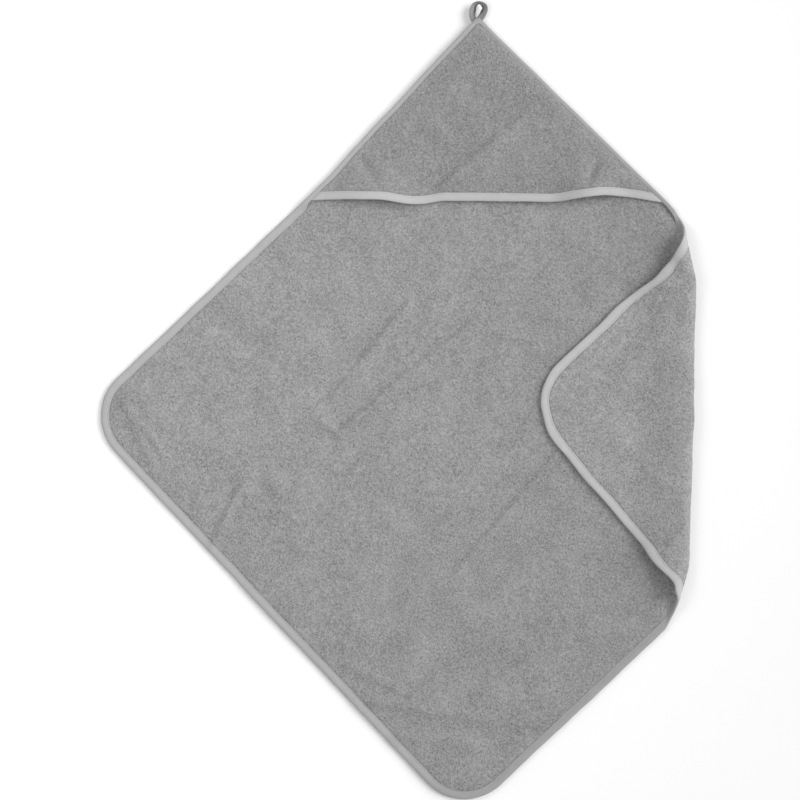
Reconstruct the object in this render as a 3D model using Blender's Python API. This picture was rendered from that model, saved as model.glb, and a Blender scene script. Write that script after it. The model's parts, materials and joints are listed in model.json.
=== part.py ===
"""Hooded baby towel: a square of terry with a hood sewn over one corner, laid out flat.

Metres, +Z up. The hood's corner points to +Y, and the corner on the +X side is folded
over onto the towel. The plan is drawn about the towel's own middle; at the end the
whole model is shifted so that the origin is at the centre of its footprint, z = 0 at
the surface that it lies on.
"""
import math

import bmesh
import bpy
from mathutils import Vector

# ---- driving dimensions -------------------------------------------------------------
THICKNESS = 0.0040        # terry with its pile, and the bound edge pressed to the same
MID = THICKNESS / 2       # height of the cloth's middle plane where it lies flat
GAP = 0.0003              # clearance between touching pieces
PILE_GAP = 0.0006         # clearance between the pile and the end of a binding lip

# Corners of the bound edge as it lies and their rounding, anticlockwise from the apex.
OUTLINE = [
    ((-0.005, 0.544), 0.006),     # apex of the hood
    ((-0.204, 0.317), 0.300),     # above the hood's left end, where the edge pulls in
    ((-0.527, -0.005), 0.070),    # left corner
    ((0.000, -0.539), 0.070),     # bottom corner
    ((0.270, -0.273), 0.300),     # where the lower right edge starts to lift
    ((0.541, 0.028), 0.070),      # right corner, as it would lie before it is folded over
    ((0.250, 0.302), 0.300),      # the hood's right end
]
APEX, HOOD_L, LEFT, BOTTOM, FOLD_LOW, RIGHT, HOOD_R = range(7)
ARC_STEP = math.radians(12.0)     # a rounded corner turns this much between stations

BINDING_WIDTH = 0.0112            # finished width of the tape on each side of the edge
TAPE = 0.0008                     # thickness of the turned-in tape
MARGIN_HALF = 0.0009              # half the terry's thickness where the tape squeezes it

FOLD_X = 0.285                    # the folded corner starts to rise here
ROLL_RADIUS = 0.010               # of the cloth's middle plane: the roll is 24 mm high
ROLL_STEPS = 8
FLAP_DROP_LENGTH = 0.075          # the folded corner sinks onto the towel over this length
FLAP_MID = THICKNESS + GAP + MID
DROP_STEPS = 9
OPEN_GAP = 0.0010          # between the roll and the loose corner, so that it opens past flat

LEFT_FOLD_X = -0.297              # wrap folds, flat as the towel is laid out
BOTTOM_FOLD_Y = -0.310
WRAP_AXIS_Z = 0.008               # height of their fold axes

HOOD_LEFT = (-0.224, 0.2945)      # ends of the hood's free edge, at the bound edge
HOOD_RIGHT = (0.251, 0.3010)
HOOD_WAVES = [(-0.085, 0.048, -0.0055), (0.180, 0.085, 0.0085)]  # centre, half width, height
HOOD_MID = THICKNESS + GAP + MID  # middle plane of the hood at its seams
HOOD_BULGE = 0.0075               # slack lifts the middle of the free edge by this
HOOD_SIDE_GAP = 0.0005            # the hood's cloth ends this far inside the binding lip
HOOD_STEPS = 44
HOOD_ROWS = 5

THREAD_OFFSET = 0.0092            # seam line, from the outer edge
THREAD_WIDTH = 0.0008
THREAD_HEIGHT = 0.0003

LOOP_X = -0.0035
LOOP_ROOT_Y = 0.529
LOOP_TIP_Y = 0.5642
LOOP_HALF_WIDTH = 0.0088          # to the middle of the tape
LOOP_TAPE_WIDTH = 0.0095
LOOP_TAPE_THICKNESS = 0.0012
LOOP_ROOT_Z = 0.0094              # middle of the tape where it is sewn onto the apex
LOOP_TIP_Z = 0.0056
LOOP_TWIST = math.radians(58.0)   # how far the tape turns up on its edge
LOOP_CLEAR_Y = (0.542, 0.556)     # it turns and sinks between these
LOOP_OPEN_ANGLE = math.radians(36.0)
LOOP_AXIS_Z = 0.0086
LOOP_STEPS = 28
BARTACK = (0.0150, 0.0016, 0.0005)


# ---- materials ----------------------------------------------------------------------
def material(name, color, roughness):
    mat = bpy.data.materials.new(name)
    mat.use_nodes = True
    shader = mat.node_tree.nodes["Principled BSDF"]
    shader.inputs["Base Color"].default_value = (*color, 1.0)
    shader.inputs["Roughness"].default_value = roughness
    shader.inputs["Metallic"].default_value = 0.0
    return mat


# ---- the outline --------------------------------------------------------------------
def round_corner(before, corner, after, radius):
    """Stations (point, inward normal) along the arc that rounds one corner."""
    corner = Vector(corner)
    incoming = (corner - Vector(before)).normalized()
    outgoing = (Vector(after) - corner).normalized()
    turn = math.atan2(incoming.x * outgoing.y - incoming.y * outgoing.x, incoming.dot(outgoing))
    side = 1.0 if turn > 0 else -1.0
    start = corner - incoming * radius * math.tan(abs(turn) / 2)
    normal = Vector((-incoming.y, incoming.x))
    centre = start + normal * radius * side
    steps = max(1, math.ceil(abs(turn) / ARC_STEP))
    stations = []
    for i in range(steps + 1):
        angle = turn * i / steps
        inward = Vector((normal.x * math.cos(angle) - normal.y * math.sin(angle),
                         normal.x * math.sin(angle) + normal.y * math.cos(angle)))
        stations.append((centre - inward * radius * side, inward))
    return stations


def all_corners():
    points = [point for point, _ in OUTLINE]
    count = len(points)
    return [round_corner(points[i - 1], points[i], points[(i + 1) % count], OUTLINE[i][1])
            for i in range(count)]


CORNERS = all_corners()


# A run is a list of stations, and a station is a function: offset from the edge -> plan point.
def corner(index):
    """Stations round a corner. Further in than its radius, they meet in one sharp point."""
    vertex, radius = OUTLINE[index]
    first, last = CORNERS[index][0][1], CORNERS[index][-1][1]
    mitre = (first + last) / (1 + first.dot(last))

    def station(offset, p, n):
        return Vector(vertex) + mitre * offset if offset > radius else p + n * offset
    return [lambda offset, p=p, n=n: station(offset, p, n) for p, n in CORNERS[index]]


def cut(first, second, axis, value):
    """Where the straight edge between two corners crosses x = value or y = value."""
    (p, n), (q, m) = CORNERS[first][-1], CORNERS[second][0]

    def station(offset):
        a, b = p + n * offset, q + m * offset
        return a.lerp(b, (value - a[axis]) / (b[axis] - a[axis]))
    return station


def plan(run, offset):
    return [station(offset) for station in run]


# ---- the folded corner --------------------------------------------------------------
ROLL_LENGTH = math.pi * ROLL_RADIUS
FLAP_TOP = MID + 2 * ROLL_RADIUS
FLAP_DROP = FLAP_TOP - FLAP_MID
DROP_EXTRA = 0.6 * FLAP_DROP ** 2 / FLAP_DROP_LENGTH      # cloth used up by sinking
DROP_CLOTH = FLAP_DROP_LENGTH + DROP_EXTRA


def flat(x, y, z):
    """A point of the towel, z from the cloth's middle plane, where it lies flat."""
    return (x, y, MID + z)


def folded(x, y, z):
    """The same, carried round the fold of the right corner."""
    u = x - FOLD_X
    if u <= ROLL_LENGTH:
        angle = u / ROLL_RADIUS
        reach = ROLL_RADIUS - z
        return (FOLD_X + reach * math.sin(angle), y, MID + ROLL_RADIUS - reach * math.cos(angle))
    s = u - ROLL_LENGTH
    q = s * FLAP_DROP_LENGTH / DROP_CLOTH if s < DROP_CLOTH else s - DROP_EXTRA
    t = min(q / FLAP_DROP_LENGTH, 1.0)
    height = FLAP_TOP - FLAP_DROP * t * t * (3 - 2 * t)
    slope = -FLAP_DROP * 6 * t * (1 - t) / FLAP_DROP_LENGTH
    norm = math.hypot(slope, 1.0)
    return (FOLD_X - q - z * slope / norm, y, height - z / norm)


# ---- the hood -----------------------------------------------------------------------
SEAM_INSET = BINDING_WIDTH + HOOD_SIDE_GAP
APEX_X = CORNERS[APEX][len(CORNERS[APEX]) // 2][0].x


def hood_edge_y(x):
    """Middle line of the tape along the hood's free edge."""
    t = (x - HOOD_LEFT[0]) / (HOOD_RIGHT[0] - HOOD_LEFT[0])
    y = HOOD_LEFT[1] + t * (HOOD_RIGHT[1] - HOOD_LEFT[1])
    for centre, half_width, height in HOOD_WAVES:
        d = (x - centre) / half_width
        if abs(d) < 1:
            y += height * 0.5 * (1 + math.cos(math.pi * d))
    return y


def seam_line(corner_index, station_index, offset):
    """One straight side of the hood's corner: a point on it and its inward normal."""
    p, n = CORNERS[corner_index][station_index]
    return p + n * offset, n


SEAMS = [seam_line(APEX, -1, SEAM_INSET), seam_line(HOOD_R, -1, SEAM_INSET)]


def seam_distance(seam, x, y):
    point, normal = seam
    return (Vector((x, y)) - point).dot(normal)


def hood_height(x, y):
    """Middle plane of the hood: down at both seams, lifted in the middle of the free edge."""
    middle_x = (HOOD_LEFT[0] + HOOD_RIGHT[0]) / 2
    middle = [seam_distance(seam, middle_x, hood_edge_y(middle_x)) for seam in SEAMS]
    here = [max(0.0, seam_distance(seam, x, y)) for seam in SEAMS]
    return HOOD_MID + HOOD_BULGE * here[0] * here[1] / (middle[0] * middle[1])


def seam_x(seam, depth):
    """Where the line `depth` inside the free edge's outer side meets a seam."""
    point, normal = seam
    x = point.x
    for _ in range(60):
        y = hood_edge_y(x) - BINDING_WIDTH / 2 + depth
        x = point.x - (y - point.y) * normal.y / normal.x
    return x


def seam_y(x):
    """Height in plan of the hood's cloth at x, under the nearer seam."""
    return min(p.y - (x - p.x) * n.x / n.y for p, n in SEAMS)


# ---- mesh helpers -------------------------------------------------------------------
OBJECTS = []


def make_object(name, mat, vertices, faces, origin=(0.0, 0.0, 0.0)):
    place = Vector(origin)
    mesh = bpy.data.meshes.new(name)
    mesh.from_pydata([Vector(v) - place for v in vertices], [], faces)
    bm = bmesh.new()
    bm.from_mesh(mesh)
    bmesh.ops.remove_doubles(bm, verts=bm.verts, dist=1e-6)
    bmesh.ops.recalc_face_normals(bm, faces=bm.faces)
    if bm.calc_volume(signed=True) < 0:
        bmesh.ops.reverse_faces(bm, faces=bm.faces)
    bm.to_mesh(mesh)
    bm.free()
    mesh.materials.append(mat)
    mesh.shade_smooth()
    mesh.set_sharp_from_angle(angle=math.radians(35.0))
    obj = bpy.data.objects.new(name, mesh)
    obj.location = place
    bpy.context.scene.collection.objects.link(obj)
    OBJECTS.append(obj)
    return obj


def loft(sections, start=True, end=True):
    """Skin equal closed sections in a row, with a cap on the ends that ask for one."""
    size = len(sections[0])
    vertices = [v for section in sections for v in section]
    faces = []
    if start:
        faces.append(list(range(size)))
    if end:
        faces.append(list(range(len(vertices) - size, len(vertices))))
    for k in range(len(sections) - 1):
        for i in range(size):
            j = (i + 1) % size
            faces.append([k * size + i, k * size + j, (k + 1) * size + j, (k + 1) * size + i])
    return vertices, faces


# ---- terry --------------------------------------------------------------------------
PILE_OFFSET = BINDING_WIDTH + PILE_GAP        # the full pile starts here
MARGIN_OFFSET = TAPE + PILE_GAP               # the squeezed margin ends here
PANEL_LEVELS = [(PILE_OFFSET, -MID), (PILE_OFFSET, -MARGIN_HALF),
                (MARGIN_OFFSET, -MARGIN_HALF), (MARGIN_OFFSET, MARGIN_HALF),
                (PILE_OFFSET, MARGIN_HALF), (PILE_OFFSET, MID)]


def flat_panel(name, mat, run, origin=(0.0, 0.0, 0.0)):
    """A flat panel whose bound margin is squeezed to fit inside the tape."""
    rings = [[flat(x, y, z) for x, y in plan(run, offset)] for offset, z in PANEL_LEVELS]
    return make_object(name, mat, *loft(rings), origin)


def side_cuts(x):
    """The lower and the upper edge of the right corner, cut across at one x."""
    return cut(FOLD_LOW, RIGHT, 0, x), cut(RIGHT, HOOD_R, 0, x)


def cross_section(x):
    """A panel's section across the folded corner, up one side and down the other."""
    lower, upper = side_cuts(x)
    section = [folded(*lower(offset), z) for offset, z in PANEL_LEVELS]
    section += [folded(*upper(offset), z) for offset, z in reversed(PANEL_LEVELS)]
    return section


def folded_strip(name, mat, stations):
    return make_object(name, mat, *loft([cross_section(x) for x in stations]))


def folded_corner(name, mat, stations, origin):
    """The loose part of the right corner: cross sections down the slope, then the flat tip."""
    vertices, faces = loft([cross_section(x) for x in stations], end=False)
    lower, upper = side_cuts(stations[-1])
    run = [lower] + corner(RIGHT) + [upper]
    base = len(vertices)
    count = len(run)
    for offset, z in PANEL_LEVELS:
        vertices += [folded(x, y, z) for x, y in plan(run, offset)]
    for level in range(len(PANEL_LEVELS) - 1):
        for i in range(count - 1):
            a = base + level * count + i
            faces.append([a, a + 1, a + count + 1, a + count])
    faces.append([base + i for i in range(count)])
    faces.append([base + (len(PANEL_LEVELS) - 1) * count + i for i in range(count)])
    return make_object(name, mat, vertices, faces, origin)


# ---- tape and thread ----------------------------------------------------------------
def channel(width=BINDING_WIDTH):
    """The folded tape in section: (offset from the outer edge, height), lips inwards."""
    return [(0.0, -MID), (width, -MID), (width, TAPE - MID), (TAPE, TAPE - MID),
            (TAPE, MID - TAPE), (width, MID - TAPE), (width, MID), (0.0, MID)]


def thread_section(side):
    """A seam thread on the upper (+1) or the under (-1) side of the cloth."""
    low, high = side * (MID + GAP), side * (MID + GAP + THREAD_HEIGHT)
    near, far = THREAD_OFFSET - THREAD_WIDTH / 2, THREAD_OFFSET + THREAD_WIDTH / 2
    return [(near, low), (far, low), (far, high), (near, high)]


def extra_layer(x, y):
    """How much the upper lip rises to take in the hood's cloth as well."""
    start, full = HOOD_SEAM_RAMPS[0] if x < 0 else HOOD_SEAM_RAMPS[1]
    return HOOD_MID - MID if y > (start + full) / 2 else 0.0


HOOD_SEAM_RAMPS = [(0.291, 0.301), (0.312, 0.322)]


def sweep(name, mat, run, profile, carry, origin=(0.0, 0.0, 0.0), hood=False):
    """Sweep a section along a run of stations; with `hood`, its upper half takes two layers."""
    sections = []
    for station in run:
        edge = station(0.0)
        rise = extra_layer(*edge) if hood else 0.0
        section = []
        for offset, z in profile:
            x, y = station(offset)
            section.append(carry(x, y, z + rise if z > 0 else z))
        sections.append(section)
    return make_object(name, mat, *loft(sections), origin)


# ---- the pieces ---------------------------------------------------------------------
TERRY = material("terry_grey", (0.30, 0.30, 0.30), 0.95)
TERRY_HOOD = material("hood_terry_grey", (0.29, 0.29, 0.29), 0.95)
TERRY_CORNER = material("corner_terry_grey", (0.31, 0.31, 0.31), 0.95)
BINDING = material("binding_light_grey", (0.47, 0.47, 0.48), 0.80)
THREAD = material("thread_grey", (0.42, 0.42, 0.43), 0.60)
LOOP_MAT = material("loop_grey", (0.40, 0.40, 0.41), 0.80)

ROLL_AXIS = (FOLD_X, 0.0, MID + ROLL_RADIUS)
LEFT_AXIS = (LEFT_FOLD_X, 0.0, WRAP_AXIS_Z)
BOTTOM_AXIS = (0.0, BOTTOM_FOLD_Y, WRAP_AXIS_Z)
HOOD_AXIS = (0.0, seam_y(APEX_X), HOOD_MID + MID)
LOOP_AXIS = (LOOP_X, LOOP_ROOT_Y, LOOP_AXIS_Z)

HALF = GAP / 2
ROOT_RIGHT = FOLD_X - HALF
ROOT_LEFT = LEFT_FOLD_X + HALF
ROOT_LOW = BOTTOM_FOLD_Y + HALF

TOP_RUN = ([cut(RIGHT, HOOD_R, 0, ROOT_RIGHT)] + corner(HOOD_R)
           + [cut(HOOD_R, APEX, 1, y) for y in HOOD_SEAM_RAMPS[1]] + corner(APEX) + corner(HOOD_L)
           + [cut(HOOD_L, LEFT, 1, y) for y in reversed(HOOD_SEAM_RAMPS[0])]
           + [cut(HOOD_L, LEFT, 0, ROOT_LEFT)])
LOWER_LEFT_RUN = [cut(LEFT, BOTTOM, 0, ROOT_LEFT), cut(LEFT, BOTTOM, 1, ROOT_LOW)]
LOWER_RIGHT_RUN = ([cut(BOTTOM, FOLD_LOW, 1, ROOT_LOW)] + corner(FOLD_LOW)
                   + [cut(FOLD_LOW, RIGHT, 0, ROOT_RIGHT)])
LEFT_RUN = ([cut(HOOD_L, LEFT, 0, LEFT_FOLD_X - HALF)] + corner(LEFT)
            + [cut(LEFT, BOTTOM, 0, LEFT_FOLD_X - HALF)])
BOTTOM_RUN = ([cut(LEFT, BOTTOM, 1, BOTTOM_FOLD_Y - HALF)] + corner(BOTTOM)
              + [cut(BOTTOM, FOLD_LOW, 1, BOTTOM_FOLD_Y - HALF)])

ROLL_X = [FOLD_X + HALF + (ROLL_LENGTH - GAP) * i / ROLL_STEPS for i in range(ROLL_STEPS + 1)]
DROP_X = [FOLD_X + ROLL_LENGTH + OPEN_GAP + (DROP_CLOTH - OPEN_GAP) * i / DROP_STEPS
          for i in range(DROP_STEPS + 1)]
CORNER_RUN = ([cut(FOLD_LOW, RIGHT, 0, x) for x in DROP_X] + corner(RIGHT)
              + [cut(RIGHT, HOOD_R, 0, x) for x in reversed(DROP_X)])


def build_terry():
    flat_panel("main_terry", TERRY, TOP_RUN + LOWER_LEFT_RUN + LOWER_RIGHT_RUN)
    flat_panel("left_corner_terry", TERRY_CORNER, LEFT_RUN, LEFT_AXIS)
    flat_panel("bottom_corner_terry", TERRY_CORNER, BOTTOM_RUN, BOTTOM_AXIS)
    folded_strip("right_fold_terry", TERRY, ROLL_X)
    folded_corner("right_corner_terry", TERRY_CORNER, DROP_X, ROLL_AXIS)


def build_edge_tape():
    tape = channel()
    sweep("top_edge_binding", BINDING, TOP_RUN, tape, flat, hood=True)
    sweep("lower_left_edge_binding", BINDING, LOWER_LEFT_RUN, tape, flat)
    sweep("lower_right_edge_binding", BINDING, LOWER_RIGHT_RUN, tape, flat)
    sweep("left_corner_binding", BINDING, LEFT_RUN, tape, flat, LEFT_AXIS)
    sweep("bottom_corner_binding", BINDING, BOTTOM_RUN, tape, flat, BOTTOM_AXIS)
    sweep("right_corner_binding", BINDING, CORNER_RUN, tape, folded, ROLL_AXIS)
    lower = [cut(FOLD_LOW, RIGHT, 0, x) for x in ROLL_X]
    upper = [cut(RIGHT, HOOD_R, 0, x) for x in ROLL_X]
    sweep("right_fold_lower_binding", BINDING, lower, tape, folded)
    sweep("right_fold_upper_binding", BINDING, upper, tape, folded)


def build_edge_thread():
    over, under = thread_section(1), thread_section(-1)
    sweep("top_edge_stitching", THREAD, TOP_RUN, over, flat, hood=True)
    sweep("lower_left_edge_stitching", THREAD, LOWER_LEFT_RUN, over, flat)
    sweep("lower_right_edge_stitching", THREAD, LOWER_RIGHT_RUN, over, flat)
    sweep("left_corner_stitching", THREAD, LEFT_RUN, over, flat, LEFT_AXIS)
    sweep("bottom_corner_stitching", THREAD, BOTTOM_RUN, over, flat, BOTTOM_AXIS)
    sweep("right_corner_stitching", THREAD, CORNER_RUN, under, folded, ROLL_AXIS)


def hood_section(x):
    """The hood's cloth across one x, from the free edge to the seam and back underneath."""
    edge = hood_edge_y(x) - BINDING_WIDTH / 2
    pile, margin, top = edge + PILE_OFFSET, edge + MARGIN_OFFSET, seam_y(x)
    rows = [pile + (top - pile) * i / HOOD_ROWS for i in range(HOOD_ROWS + 1)]
    section = [(margin, -MARGIN_HALF), (margin, MARGIN_HALF), (pile, MARGIN_HALF)]
    section += [(y, MID) for y in rows]
    section += [(y, -MID) for y in reversed(rows)]
    section.append((pile, -MARGIN_HALF))
    return [(x, y, hood_height(x, y) + z) for y, z in section]


def build_hood():
    """The hood's cloth reaches as far into each lower corner as the full pile has room."""
    left, right = seam_x(SEAMS[0], PILE_OFFSET + 0.003), seam_x(SEAMS[1], PILE_OFFSET + 0.003)
    half = HOOD_STEPS // 2
    stations = [left + (APEX_X - left) * i / half for i in range(half)]
    stations += [APEX_X + (right - APEX_X) * i / half for i in range(half + 1)]
    sections = [hood_section(x) for x in stations]
    make_object("hood_terry", TERRY_HOOD, *loft(sections), HOOD_AXIS)
    hood_sweep("hood_edge_binding", BINDING, channel())
    hood_sweep("hood_edge_stitching", THREAD, thread_section(1))


def hood_sweep(name, mat, profile):
    ends = [(seam_x(SEAMS[0], depth), seam_x(SEAMS[1], depth)) for depth, _ in profile]
    sections = []
    for i in range(HOOD_STEPS + 1):
        section = []
        for (depth, z), (left, right) in zip(profile, ends):
            x = left + (right - left) * i / HOOD_STEPS
            y = hood_edge_y(x) - BINDING_WIDTH / 2 + depth
            section.append((x, y, hood_height(x, y) + z))
        sections.append(section)
    make_object(name, mat, *loft(sections), HOOD_AXIS)


def smooth_step(value, low, high):
    t = min(max((value - low) / (high - low), 0.0), 1.0)
    return t * t * (3 - 2 * t)


def loop_middle(angle):
    """Middle of the loop's tape; the angle runs from one sewn end round to the other."""
    length = LOOP_TIP_Y - LOOP_ROOT_Y - LOOP_TAPE_THICKNESS
    y = LOOP_ROOT_Y + length * (1 - math.cos(angle)) / 2
    sunk = smooth_step(y, *LOOP_CLEAR_Y)
    return Vector((LOOP_X + LOOP_HALF_WIDTH * math.sin(angle), y,
                   LOOP_ROOT_Z + (LOOP_TIP_Z - LOOP_ROOT_Z) * sunk)), sunk


def build_loop():
    sections = []
    for i in range(LOOP_STEPS + 1):
        angle = LOOP_OPEN_ANGLE + (2 * math.pi - 2 * LOOP_OPEN_ANGLE) * i / LOOP_STEPS
        middle, sunk = loop_middle(angle)
        along = (loop_middle(angle + 0.01)[0] - loop_middle(angle - 0.01)[0]).normalized()
        across = along.cross(Vector((0, 0, 1))).normalized()
        up = across.cross(along)
        twist = LOOP_TWIST * sunk
        wide = across * math.cos(twist) + up * math.sin(twist)
        thick = up * math.cos(twist) - across * math.sin(twist)
        wide *= LOOP_TAPE_WIDTH / 2 * (0.55 + 0.45 * sunk)
        thick *= LOOP_TAPE_THICKNESS / 2
        sections.append([middle - wide - thick, middle + wide - thick,
                         middle + wide + thick, middle - wide + thick])
    make_object("hanging_loop", LOOP_MAT, *loft(sections), LOOP_AXIS)
    length, width, height = BARTACK
    y = LOOP_ROOT_Y + 0.0045
    z = LOOP_ROOT_Z + LOOP_TAPE_THICKNESS / 2 + GAP
    bar = [[(LOOP_X + dx, y + dy, z + dz) for dy, dz in
            ((-width / 2, 0), (width / 2, 0), (width / 2, height), (-width / 2, height))]
           for dx in (-length / 2, length / 2)]
    make_object("loop_bartack", THREAD, *loft(bar), LOOP_AXIS)


def centre_footprint():
    """Shift everything so that the origin is at the middle of the footprint, on z = 0."""
    points = [obj.location + v.co for obj in OBJECTS for v in obj.data.vertices]
    low = [min(p[i] for p in points) for i in range(3)]
    high = [max(p[i] for p in points) for i in range(3)]
    shift = Vector(((low[0] + high[0]) / 2, (low[1] + high[1]) / 2, low[2]))
    for obj in OBJECTS:
        obj.location -= shift
    print("shift", tuple(shift), "size", [high[i] - low[i] for i in range(3)])


def main():
    for obj in list(bpy.data.objects):
        bpy.data.objects.remove(obj, do_unlink=True)
    build_terry()
    build_edge_tape()
    build_edge_thread()
    build_hood()
    build_loop()
    centre_footprint()


main()
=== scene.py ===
"""Hooded baby towel laid out flat: terry pile, jersey edge tape, seams, hood and hanging loop.

The cloth is drawn flat, in plan, about the towel's own middle, in metres. A carry function
then takes each point of the cloth, with its height above the cloth's middle plane, to
where it lies: flat, round the fold of the right corner, or on the hood.
"""

import functools
import json
import math

import bpy
import numpy as np
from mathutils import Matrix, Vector, geometry


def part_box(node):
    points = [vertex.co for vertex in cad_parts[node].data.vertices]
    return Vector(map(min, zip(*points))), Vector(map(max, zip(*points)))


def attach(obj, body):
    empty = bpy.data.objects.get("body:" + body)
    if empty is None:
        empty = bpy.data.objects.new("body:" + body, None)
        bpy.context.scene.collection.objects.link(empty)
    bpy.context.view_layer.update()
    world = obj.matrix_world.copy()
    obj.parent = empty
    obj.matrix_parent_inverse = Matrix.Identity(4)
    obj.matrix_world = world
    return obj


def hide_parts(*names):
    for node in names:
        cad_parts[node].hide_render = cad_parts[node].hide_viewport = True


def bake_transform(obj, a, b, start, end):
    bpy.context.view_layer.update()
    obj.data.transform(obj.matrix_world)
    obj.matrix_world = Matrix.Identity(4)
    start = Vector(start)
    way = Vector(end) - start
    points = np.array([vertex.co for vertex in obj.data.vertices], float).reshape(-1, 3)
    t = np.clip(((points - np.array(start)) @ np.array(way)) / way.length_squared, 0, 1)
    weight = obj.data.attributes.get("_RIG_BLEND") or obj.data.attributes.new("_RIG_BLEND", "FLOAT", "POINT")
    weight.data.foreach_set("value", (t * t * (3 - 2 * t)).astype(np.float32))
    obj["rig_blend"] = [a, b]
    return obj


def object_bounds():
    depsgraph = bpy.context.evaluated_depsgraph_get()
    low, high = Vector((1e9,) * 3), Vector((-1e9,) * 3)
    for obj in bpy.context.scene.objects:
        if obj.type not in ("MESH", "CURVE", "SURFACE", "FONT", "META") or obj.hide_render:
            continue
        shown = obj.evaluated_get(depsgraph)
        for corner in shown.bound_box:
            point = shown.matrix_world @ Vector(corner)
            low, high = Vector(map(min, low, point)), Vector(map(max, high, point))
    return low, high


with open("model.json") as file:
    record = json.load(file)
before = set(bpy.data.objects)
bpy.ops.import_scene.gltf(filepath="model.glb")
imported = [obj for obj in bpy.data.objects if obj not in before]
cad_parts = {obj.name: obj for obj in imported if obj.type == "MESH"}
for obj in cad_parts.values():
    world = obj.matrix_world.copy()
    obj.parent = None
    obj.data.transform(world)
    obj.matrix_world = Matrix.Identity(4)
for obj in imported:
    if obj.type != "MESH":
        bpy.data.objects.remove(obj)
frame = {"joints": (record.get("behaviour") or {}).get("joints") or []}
CAD_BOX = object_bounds()
JOINTS = {joint["name"]: joint["pos_m"] for joint in frame["joints"]}
RANGES = {joint["name"]: joint.get("range_deg") for joint in frame["joints"]}
FOLD_TURN = math.radians(RANGES["right_corner_fold"][1])
ORIGIN = np.array([JOINTS["hood_lift"][0], JOINTS["right_corner_fold"][1], 0.0])
FOLD_AXIS_X = JOINTS["right_corner_fold"][0] - ORIGIN[0]
FOLD_AXIS_Z = JOINTS["right_corner_fold"][2]
LEFT_FOLD_X = JOINTS["left_corner_fold"][0] - ORIGIN[0]
BOTTOM_FOLD_Y = JOINTS["bottom_corner_fold"][1] - ORIGIN[1]
LOOP_X = JOINTS["loop_swing"][0] - ORIGIN[0]

# ---- the cloth ----
MID = 0.0020  # height of the middle plane where the cloth lies flat
PILE_HALF = 0.0019  # half the terry's thickness, pile included
MARGIN_HALF = 0.0009  # and where the tape squeezes it
CELL = 0.0035  # spacing of the terry's vertices
FINE_CELL = 0.0025  # and on the folded corner and the hood
TAPE_STEP = 0.0030  # spacing of the tape's sections

# Corners of the bound edge before the right one is folded over, and their rounding,
# anticlockwise from the apex.
OUTLINE = [
    ((-0.005, 0.5408), 0.006),
    ((-0.204, 0.317), 0.300),
    ((-0.527, -0.005), 0.070),
    ((0.000, -0.539), 0.070),
    ((0.270, -0.273), 0.300),
    ((0.541, 0.028), 0.070),
    ((0.250, 0.302), 0.300),
]
APEX, HOOD_L, LEFT, BOTTOM, FOLD_LOW, RIGHT, HOOD_R = range(7)

TAPE_WIDTH = 0.0112
THREAD_OFFSET = 0.0092  # seam line, from the outer edge
ACROSS_STEP = 0.001  # a second line this far in gives the direction across
# The folded tape in half section: distance from the outer edge and height above the middle
# plane, over the top from the nose to the lip and back inside it.
TAPE_HALF_SECTION = [
    (0.0000, 0.0000), (0.0003, 0.0008), (0.0010, 0.0014), (0.0024, 0.0018),
    (0.0045, 0.0019), (0.0068, 0.0018), (0.0084, 0.0016), (0.0092, 0.0014),
    (0.0099, 0.0016), (0.0107, 0.0018), (0.0112, 0.0016), (0.0111, 0.0012),
    (0.0092, 0.0010), (0.0045, 0.0011), (0.0012, 0.0006),
]

# Distances from the outer edge at which rows of terry vertices follow it, and the half
# thickness there: flat inside the tape, then the pile stands up beside the lip.
RINGS = np.array([0.0016, 0.0060, 0.0105, 0.0113, 0.0122, 0.0136, 0.0160])
RING_HALF = np.array([MARGIN_HALF, MARGIN_HALF, MARGIN_HALF, 0.0010, 0.0015, 0.0018, PILE_HALF])
DEEP = 1.0  # depth given to points away from the edge
TERRY_SEED, HOOD_SEED = 101, 131  # of the pile's tufts

CUT_REACH = 0.016  # a wrap fold bends over this much on each side of its line
RIGHT_CUT_X = 0.262  # the folded corner's piece starts here, before its roll

# ---- the folded corner ----
FLAP_SUM_X = 0.6003  # a point's place in the flap plus its place in the cloth
ROLL_START_X = 0.2845  # the cloth starts to rise here, half way along the fold
ROLL_HALF = 0.0090  # half the roll's height there, to the middle plane
NOSE_X = 0.2935  # middle plane at the fold's outermost line
FLAP_MID = 0.0078  # middle plane of the corner where it lies on the towel
# The folded corner's edge wanders: y, half width, how far to the right.
FLAP_WAVES = [(0.2189, 0.0165, -0.0016), (0.1942, 0.0160, 0.0033), (0.157, 0.032, -0.0036),
              (0.052, 0.040, 0.0042), (0.006, 0.042, 0.0058), (-0.078, 0.030, -0.0022),
              (-0.186, 0.028, -0.0048), (-0.232, 0.034, -0.0050)]
# Cloth taken up where the roll stands on its edge: y, half width, how much.
SLACKS = [(0.2241, 0.0434, 0.0050), (-0.232, 0.030, 0.0040)]
SLACK_FALL = 0.84  # the cloth sinks by this share of it
CREST_LENGTH = 0.0240  # over this much cloth past the roll's top
DRAWN_OVER = [(0.2598, 0.0467, 0.0160)]  # cloth drawn over the fold at its upper end
PULL_ENDS = [(0.1750, 0.2725), (-0.175, -0.258)]  # y over which the fold's line pulls in
END_PULL = 0.0160  # by this, at its two open ends
START_PULL = 0.0025  # and its start by this much more
TALL_ENDS = [(0.140, 0.262), (-0.135, -0.250)]  # y over which the roll grows taller
END_HALF = 0.0042  # half its height grows by this
DROP_LENGTH = 0.075  # the corner sinks onto the towel over this length
END_DROP_LENGTH = 0.115  # and over this one at its two open ends
OPENED_MID = 0.0036  # middle plane of the corner once it is opened out

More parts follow.
